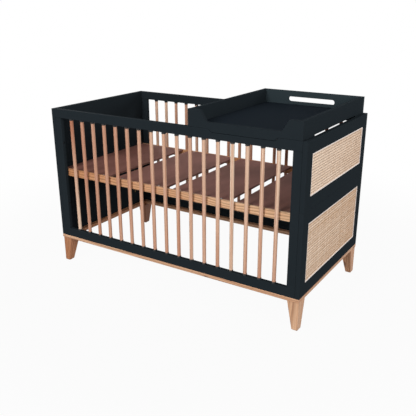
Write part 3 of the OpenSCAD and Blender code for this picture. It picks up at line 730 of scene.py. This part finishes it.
# What the tones gain at the left and at the right end of each side
# At the back the gain darkens the sticks towards the right, as painted shade under the tray
BACK_PAINTED_SHADE = ((-0.25, -0.25), (0.75, 0.75))
FRONT_TREND = ((0.0, 0.35), (0.2, -0.3))
# Tones of single feet and heads that stand out in front, by their place from the left
ODD_FEET = {0: -0.15, 1: 1.0, 2: 1.0, 10: 0.45, 11: 1.0, 13: 0.15}
ODD_HEADS = {0: 1.4, 11: 0.6}


def slat_places(node):
    """The middles of the slats along X, from the ends of the CAD row."""
    low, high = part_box(node)
    along = np.linspace(low.x + SLAT_R, high.x - SLAT_R, SLAT_COUNT)
    return np.stack([along, np.full(SLAT_COUNT, (low.y + high.y) / 2), np.full(SLAT_COUNT, low.z)], -1)


def stick_tones(side):
    """Tones of each stick's foot and head. On both sides they change from left to right: at the
    back both grow darker, as painted shade under the tray, and in front the feet grow redder and the
    heads paler."""
    tones = chance.uniform(-SLAT_SPREAD, SLAT_SPREAD, (SLAT_COUNT, 2)) + SLAT_TONE
    if side == "back":
        return tones + np.linspace(*BACK_PAINTED_SHADE, SLAT_COUNT)
    tones += np.linspace(*FRONT_TREND, SLAT_COUNT)
    tones[list(ODD_FEET), 0] = list(ODD_FEET.values())
    tones[list(ODD_HEADS), 1] = list(ODD_HEADS.values())
    return tones


def slats(side):
    """A turned profile of the slat's length, copied along the side."""
    node = side + "_slats"
    low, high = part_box(node)
    length = high.z - low.z
    heights = np.linspace(SLAT_EASE, length - SLAT_EASE, SLAT_RINGS)
    end_r = SLAT_R - SLAT_EASE
    profile = [(end_r, 0.0), *((SLAT_R, height) for height in heights), (end_r, length)]
    rows = len(profile)
    parts = placed_copies(
        turned(profile, SLAT_SIDES), grid_quads(rows, SLAT_SIDES, wrap_columns=True),
        end_caps(rows, SLAT_SIDES), slat_places(node), stick_tones(side), ALONG_Z,
    )
    return row_piece("turned_" + node, parts, node)


for side in ("front", "back"):
    print(slats(side).name, SLAT_COUNT, "slats")

# %% [markdown]
# Each slat ends in a black moulded cup that is pressed into the rail. The cup is another turned
# form, with a soft shoulder at its mouth where the light makes a small ring.

# %% Sockets
SOCKET_SIDES = 32
CUP_R = 0.01065
BORE_R = 0.00915
CUP_H = 0.008
CUP_FLOOR = 0.002
PEG_R = 0.006
PEG_L = 0.015
PEG_EASE = 0.001
SHOULDER = 0.0011
MOUTH_DROP = 0.0002


def cup_profile():
    """Radius and height from the peg's tip, up outside, over the rounded mouth and down the bore."""
    turn = np.linspace(0, math.pi / 2, 5)
    shoulder = np.stack([
        CUP_R - SHOULDER + SHOULDER * np.cos(turn), CUP_H - SHOULDER + SHOULDER * np.sin(turn)
    ], -1)
    return [
        (PEG_R - PEG_EASE, -PEG_L), (PEG_R, PEG_EASE - PEG_L), (PEG_R, 0.0), (CUP_R, 0.0),
        *shoulder.tolist(), (BORE_R, CUP_H - MOUTH_DROP), (BORE_R, CUP_FLOOR),
    ]


def sockets(side):
    """One cup that opens upwards and one, turned over, at the other end of the slat, copied along
    the side."""
    node = side + "_slat_sockets"
    low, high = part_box(node)
    profile = cup_profile()
    rows = len(profile)
    half = rows * SOCKET_SIDES
    up = turned(profile, SOCKET_SIDES).reshape(-1, 3)
    span = high.z - low.z - 2 * PEG_L
    both = np.concatenate([up, up * (1, 1, -1) + (0, 0, span)])
    quads = grid_quads(rows, SOCKET_SIDES, wrap_columns=True)
    caps = end_caps(rows, SOCKET_SIDES)
    places = slat_places(side + "_slats")
    places[:, 2] = low.z + PEG_L
    parts = placed_copies(
        both, np.concatenate([quads, quads + half]), caps + [[i + half for i in cap] for cap in caps],
        places, np.zeros((SLAT_COUNT, 2)), ALONG_Z,
    )
    return row_piece("moulded_" + node, parts, node)


for side in ("front", "back"):
    print(sockets(side).name, 2 * SLAT_COUNT, "sockets")

# %% [markdown]
# ## Cane panels
#
# The ends are filled with closely woven cane. A picture of cane would look flat from near, so the
# ribbons are real here: each is a crowned strip that rises over some crossing strips and dives under
# the others. A weft is a bundle of four strands beaten close together, so its section has four
# crowns. Between two bundles a narrow gap stays open, which gives the panel its horizontal ribs, and
# a thin brown sheet behind the gaps darkens them as painted shade.
#
# Cane is a plant, and its colour isn't even: each strand draws its own tone. The lower panels are
# also browner and more mixed, and all panels grow a little browner towards the back.

# %% Two kinds of strip
# Pitch is from strip to strip. Half is half a strip's width, as a part of the pitch. Thick is its
# thickness and wave how far it rises and dives. Section gives across and lift of each point, as parts
# of the half width and of the thickness. Flat gives places round a crossing that keep its height, as
# parts of the pitch along the strip. Honey is the mean tone. Axes says which of the strip's length,
# width and height are the panel's depth, Y and Z.
Strip = namedtuple("Strip", "pitch half thick wave section flat honey axes")
WEFT = Strip(
    pitch=0.0127, half=0.39, thick=0.0008, wave=0.0003,
    section=(
        (-1.0, 0.0), (-0.75, 1.0), (-0.5, 0.35), (-0.25, 1.0), (0.0, 0.35), (0.25, 1.0),
        (0.5, 0.35), (0.75, 1.0), (1.0, 0.0), (0.0, -0.35),
    ),
    flat=(0.0,), honey=0.3, axes=(2, 0, 1),
)
WARP = Strip(
    pitch=0.00635, half=0.22, thick=0.0006, wave=0.0007,
    section=((-1.0, 0.0), (0.0, 1.0), (1.0, 0.0), (0.0, -0.35)),
    flat=(-0.3, 0.0, 0.3), honey=0.5, axes=(2, 1, 0),
)
STRAND_SPREAD = 0.3


def ribbons(kind, on_top, pitch_across, pitch_along):
    """Points of crowned strips. Strip i runs along u at v = (i + 1/2) pitch, a wave above the middle
    where it is on top and a wave below where it isn't, and halfway between two crossings it has
    their mean height."""
    count, crossings = on_top.shape
    at_crossing = np.where(on_top, kind.wave, -kind.wave)
    between = np.pad((at_crossing[:, 1:] + at_crossing[:, :-1]) / 2, ((0, 0), (1, 1)))
    own = np.repeat(at_crossing[:, :, None], len(kind.flat), 2)
    height = np.concatenate([between[:, :-1, None], own], 2).reshape(count, -1)
    height = np.concatenate([height, between[:, -1:]], 1)
    u = np.arange(crossings)[:, None] + np.concatenate([[0.0], 0.5 + np.array(kind.flat)])
    u = np.append(u.ravel(), crossings) * pitch_along
    v = (np.arange(count) + 0.5) * pitch_across
    across, lift = np.array(kind.section).T
    shape = (count, len(u), len(kind.section))
    return np.stack([
        np.broadcast_to(u[None, :, None], shape),
        np.broadcast_to(v[:, None, None] + across * (kind.half * pitch_across), shape),
        np.broadcast_to(height[:, :, None] + lift * kind.thick, shape),
    ], -1)


def strip_parts(kind, on_top, pitch_across, pitch_along, extra_brown):
    """Points, faces, grain, tone and rim shade of all strips of one kind. Each strand, which is one
    line of points along its strip, draws a tone, and a point is browner where its lift is low: at
    the cut rims, and in the creases between crowns as painted shade."""
    strips = ribbons(kind, on_top, pitch_across, pitch_along)
    count, steps, ring = strips.shape[:3]
    quads = grid_quads(steps, ring, wrap_columns=True)
    caps = [list(range(ring)), [ring * (steps - 1) + i for i in reversed(range(ring))]]
    begin = np.arange(count) * steps * ring
    faces = (quads[None] + begin[:, None, None]).reshape(-1, 4).tolist()
    faces += [[int(b + i) for i in cap] for b in begin for cap in caps]
    places = strips.reshape(-1, 3)
    shift = np.repeat(chance.uniform(-FAR_ALONG, FAR_ALONG, count), steps * ring)
    grain = np.stack([places[:, 0] + shift, places[:, 1], places[:, 2]], -1)
    tone = chance.normal(kind.honey + extra_brown, STRAND_SPREAD + extra_brown, (count, 1, ring))
    # Low points are the cut rims and the creases between crowns, where the darkening is painted shade
    edge = np.tile(1 - np.clip(np.array(kind.section)[:, 1], 0, 1), count * steps)
    return places[:, kind.axes], faces, grain, np.repeat(tone, steps, 1).ravel(), edge


print("a weft has", len(WEFT.section), "points round and a warp", len(WARP.section))

# %% Weave
# Depth of the strips' middle in the panel, and under that the back and front of a brown sheet,
# which is painted shade behind the gaps
WEAVE_DEPTH = 0.0012
SHADE_SHEET_BACK, SHADE_SHEET_FRONT = -0.00115, -0.00095
SHADE_SHEET_FACES = ((0, 1, 3, 2), (4, 6, 7, 5), (0, 4, 5, 1), (2, 3, 7, 6), (0, 2, 6, 4), (1, 5, 7, 3))
# Growth of the tone from a panel's front to its back, and what a lower panel has more
EXTRA_BROWN_BACK = 0.5
EXTRA_BROWN_LOW = 0.34


def shade_sheet_parts(width, tall):
    """The eight corners and six faces of a thin sheet that is brown all over, as painted shade
    behind the gaps.
    """
    depths = (SHADE_SHEET_BACK, SHADE_SHEET_FRONT)
    corners = np.array([[x, y, z] for x in depths for y in (0, width) for z in (0, tall)])
    return corners, SHADE_SHEET_FACES, corners, np.full(8, 0.5), np.ones(8)


def outwards(node):
    """1 for a node of the right end, which faces along +X, and -1 for one of the left end."""
    return 1 if "right" in node else -1


def weave(node):
    """Wefts along Y and warps along Z that fill the node's box, over and under in turn, with their
    crowns towards the outer face."""
    low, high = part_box(node)
    width, tall = high.y - low.y, high.z - low.z
    warps, wefts = round(width / WARP.pitch), round(tall / WEFT.pitch)
    warp_pitch, weft_pitch = width / warps, tall / wefts
    over = np.add.outer(np.arange(wefts), np.arange(warps)) % 2 == 0
    extra_brown = EXTRA_BROWN_LOW if "lower" in node else 0.0
    parts = (
        strip_parts(WEFT, over, weft_pitch, warp_pitch, extra_brown),
        strip_parts(WARP, ~over.T, warp_pitch, weft_pitch, extra_brown),
        shade_sheet_parts(width, tall),
    )
    faces = []
    begin = 0
    for points, own_faces, *_ in parts:
        faces += [[begin + i for i in face] for face in own_faces]
        begin += len(points)
    points, grain, tones, edges = (np.concatenate([part[i] for part in parts]) for i in (0, 2, 3, 4))
    tones = tones + EXTRA_BROWN_BACK * (points[:, 1] / width - 0.5)
    side = outwards(node)
    middle_x = (low.x if side > 0 else high.x) + side * WEAVE_DEPTH
    points = np.stack([
        middle_x + side * points[:, 0], low.y + points[:, 1], low.z + points[:, 2]
    ], -1)
    piece = row_piece("woven_" + node, (points, faces, grain, tones), node, smooth=75)
    put_attribute(piece.data, "edge", edges)
    return piece


for node in ("cane_left_lower", "cane_left_upper", "cane_right_lower", "cane_right_upper"):
    piece = weave(node)
    print(piece.name, sum(len(face.vertices) - 2 for face in piece.data.polygons), "triangles")

# %% [markdown]
# A pale reed spline lies round each panel and hides the ribbons' ends. It is a half-round profile
# carried round a rectangle with small round corners.

# %% Reed splines
SPLINE_W = 0.005
SPLINE_CORNER = 0.003
SPLINE_TIGHTEST = 0.0006
# Height of the straight sides under the half round, as a part of the thickness
SPLINE_SIDE = 0.75
SPLINE_TONE = 0.4
# Grain along the spline for each radian round the panel
SPLINE_RUN = 0.2
CORNER_STEPS = 6
CROWN_STEPS = 9


def round_rectangle(width, tall, radius):
    """Corner arcs joined by straight sides: centres of the corners plus radius times a unit turn."""
    turn = np.linspace(0, math.pi / 2, CORNER_STEPS)
    arcs = []
    for quarter, (sy, sz) in enumerate(((1, 1), (-1, 1), (-1, -1), (1, -1))):
        angle = turn + quarter * math.pi / 2
        arcs.append(np.stack([
            sy * (width / 2 - radius) + radius * np.cos(angle),
            sz * (tall / 2 - radius) + radius * np.sin(angle),
        ], -1))
    return np.concatenate(arcs)


def spline(node):
    """At each step of the profile the rectangle shrinks by the way across, and X rises by the lift."""
    low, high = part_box(node)
    width, tall, thick = high.y - low.y, high.z - low.z, high.x - low.x
    turn = np.linspace(0, math.pi, CROWN_STEPS)
    crown = thick * SPLINE_SIDE + thick * (1 - SPLINE_SIDE) * np.sin(turn)
    across = np.concatenate([[0.0], SPLINE_W / 2 * (1 - np.cos(turn)), [SPLINE_W]])
    lift = np.concatenate([[0.0], crown, [0.0]])
    rings = []
    for inset, rise in zip(across, lift):
        corner = max(SPLINE_CORNER - inset, SPLINE_TIGHTEST)
        ring = round_rectangle(width - 2 * inset, tall - 2 * inset, corner)
        rings.append(np.column_stack([np.full(len(ring), rise), ring]))
    form = np.stack(rings)
    rows, columns = form.shape[:2]
    side = outwards(node)
    inner_x = low.x if side > 0 else high.x
    middle = (inner_x, (low.y + high.y) / 2, (low.z + high.z) / 2)
    points = form.reshape(-1, 3) * (side, 1, 1) + middle
    quads = grid_quads(rows, columns, wrap_rows=True, wrap_columns=True)
    run = np.arctan2(points[:, 2] - points[:, 2].mean(), points[:, 1]) * SPLINE_RUN
    grain = np.stack([run, points[:, 0], points[:, 1] + points[:, 2]], -1)
    parts = (points, quads.tolist(), grain, np.full(len(points), SPLINE_TONE))
    return row_piece("reed_" + node, parts, node)


for node in ("spline_left_lower", "spline_left_upper", "spline_right_lower", "spline_right_upper"):
    print(spline(node).name)

# %% [markdown]
# ## Hardware
#
# Bolts, inserts, plates, screws, dowels and glides have their shape from the CAD. Those that can be
# seen get crisp eased edges, and all get their own finish.

# %% Hardware
EASED_METAL = 0.0004
for node in ("side_bolts", "support_bolts", "hanger_plates"):
    piece = eased(node, "metal_" + node, ALONG_X, EASED_METAL, segments=2)
    print(piece.name, len(piece.data.polygons), "faces")
kept = [node for node in nodes if not nodes[node].hide_render]
for node in kept:
    assert nodes[node].material_slots, node
    for slot in nodes[node].material_slots:
        slot.material = FINISHES[slot_of_node[node]]
print("kept as CAD:", sorted(kept))

# %% [markdown]
# ## Stage and light
#
# The photograph is a cut-out on white. A floor and a world that look white to the camera give that,
# without pouring more light on the crib: both show white to the camera, in reflections and through
# glass, while the crib itself gets only a plain pale floor's light and the world's weak fill. The
# floor's white is a little weaker near the crib, which keeps its soft shadow, and full farther out,
# so no horizon shows.

# %% Floor and world
WHITE = (1.0, 1.0, 1.0, 1.0)
FLOOR_PALE = (0.3, 0.3, 0.3, 1.0)
FLOOR_REACH = 60.0
# Strength of the floor's white near the crib, and from where to where it grows to full
GLOW_NEAR = 0.95
GLOW_FROM, GLOW_TO = 1.0, 2.6
WORLD_FILL = 0.34


def camera_sees(tree):
    """1 for rays that show the background: from the camera, in reflections and through glass."""
    rays = tree.node("ShaderNodeLightPath", {}, out="Is Camera Ray")
    glossy = Wire(tree, rays.socket.node.outputs["Is Glossy Ray"])
    through = Wire(tree, rays.socket.node.outputs["Is Transmission Ray"])
    return (rays + glossy + through).math("MINIMUM", 1.0)


def floor_finish():
    """A pale diffuse floor, mixed with white by what the camera sees times the glow."""
    pale = Finish("pale_floor")
    away = pale.length(pale.place()).step(GLOW_FROM, GLOW_TO)
    white = pale.node("ShaderNodeEmission", {}, Color=WHITE, Strength=1.0)
    pale.shade(Base_Color=FLOOR_PALE, Roughness=1.0, Specular_IOR_Level=0.0)
    share = camera_sees(pale) * (GLOW_NEAR + (1.0 - GLOW_NEAR) * away)
    lit = Wire(pale, pale.shader.outputs[0])
    seen = pale.node("ShaderNodeMixShader", {}, share, lit, white)
    pale.feed(pale.tree.nodes["Material Output"].inputs["Surface"], seen)
    return pale.material


corners = [(x * FLOOR_REACH, y * FLOOR_REACH, 0) for x, y in ((-1, -1), (1, -1), (1, 1), (-1, 1))]
floor_mesh = bpy.data.meshes.new("floor")
floor_mesh.from_pydata(corners, [], [(0, 1, 2, 3)])
floor_mesh.materials.append(floor_finish())
floor = new_piece("floor", floor_mesh)

world = bpy.data.worlds.new("white_studio")
bpy.context.scene.world = world
world.use_nodes = True
room = NodeTree(world.node_tree)
fill = world.node_tree.nodes["Background"]
room.feed(fill.inputs["Color"], WHITE)
room.feed(fill.inputs["Strength"], WORLD_FILL)
white = room.node("ShaderNodeBackground", {}, Color=WHITE, Strength=1.0)
seen = room.node("ShaderNodeMixShader", {}, camera_sees(room), Wire(room, fill.outputs[0]), white)
room.feed(world.node_tree.nodes["World Output"].inputs["Surface"], seen)
print("floor and world ready")

# %% [markdown]
# Four large square lamps, all turned to the middle of the crib, give each side its own level. The key
# lamp stands high in front, and the side lamp stands beyond the right end and lights its cane. A
# weaker lamp behind and a low one beyond the left end light the sides that the camera doesn't see.

# %% Lamps
LAMP_TARGET = Vector((0.0, 0.0, 0.5))
# Name, place, size and power
LAMPS = (
    ("key_lamp", (-0.6, -7.4, 4.6), 2.8, 515.0),
    ("side_lamp", (8.6, -3.2, 2.8), 3.0, 420.0),
    ("back_lamp", (3.4, 7.4, 3.4), 2.8, 230.0),
    ("left_lamp", (-7.4, 4.6, 1.6), 2.8, 380.0),
)
for name, place, size, power in LAMPS:
    lamp = bpy.data.objects.new(name, bpy.data.lights.new(name, "AREA"))
    bpy.context.scene.collection.objects.link(lamp)
    lamp.data.size = size
    lamp.data.energy = power
    lamp.location = place
    lamp.rotation_euler = (LAMP_TARGET - Vector(place)).to_track_quat("-Z", "Y").to_euler()
bpy.context.scene.view_settings.view_transform = "Standard"
print(len(LAMPS), "lamps ready")
